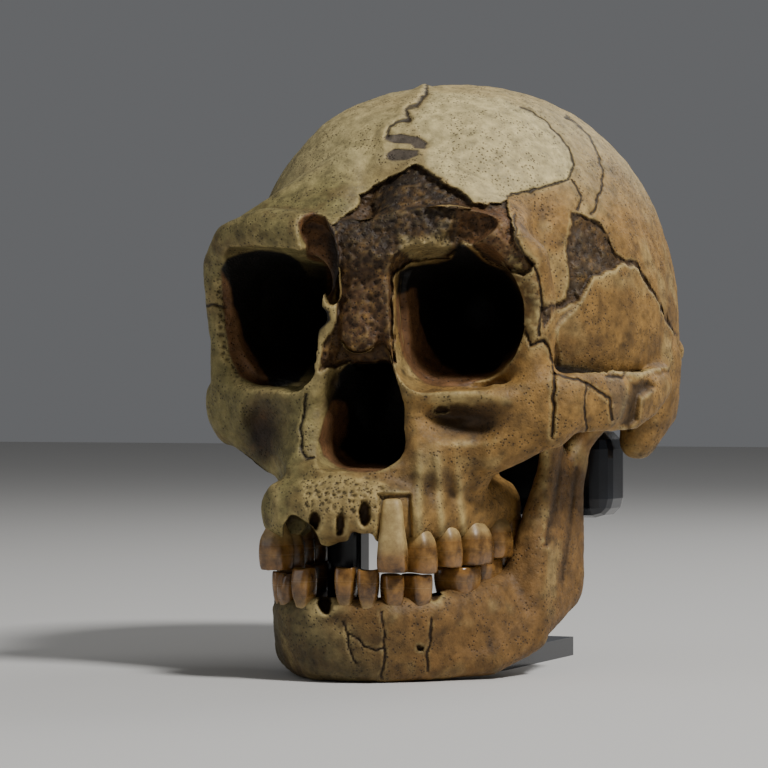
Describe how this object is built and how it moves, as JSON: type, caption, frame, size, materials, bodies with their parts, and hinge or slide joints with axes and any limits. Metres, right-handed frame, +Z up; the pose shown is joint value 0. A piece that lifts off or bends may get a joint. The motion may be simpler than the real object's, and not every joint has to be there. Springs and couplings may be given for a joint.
{
  "type": "fossil hominin skull",
  "caption": "Fossil hominin skull with its lower jaw and teeth, broken and patched at the forehead, held up by a dark acrylic display stand.",
  "frame": {"origin": "middle of the whole thing's box, on the floor", "axes": "+Z up; the face looks along -Y; +X to the skull's own left"},
  "size_m": [0.1183, 0.1503, 0.1515],
  "materials": {
    "fossil_bone": "matt",
    "dark_acrylic": "gloss"
  },
  "bodies": {
    "root": {"frontal": "fossil_bone", "upper_jaw": "fossil_bone", "cheekbone_left": "fossil_bone", "cheekbone_right": "fossil_bone", "cheek_arch_left": "fossil_bone", "cheek_arch_right": "fossil_bone", "temporal_left": "fossil_bone", "temporal_right": "fossil_bone", "skull_base": "fossil_bone", "parietal_left": "fossil_bone", "parietal_right": "fossil_bone", "occipital": "fossil_bone", "mandible": "fossil_bone", "stand_base": "dark_acrylic", "stand_post": "dark_acrylic", "stand_cradle": "dark_acrylic", "stand_prop": "dark_acrylic"}
  },
  "joints": []
}
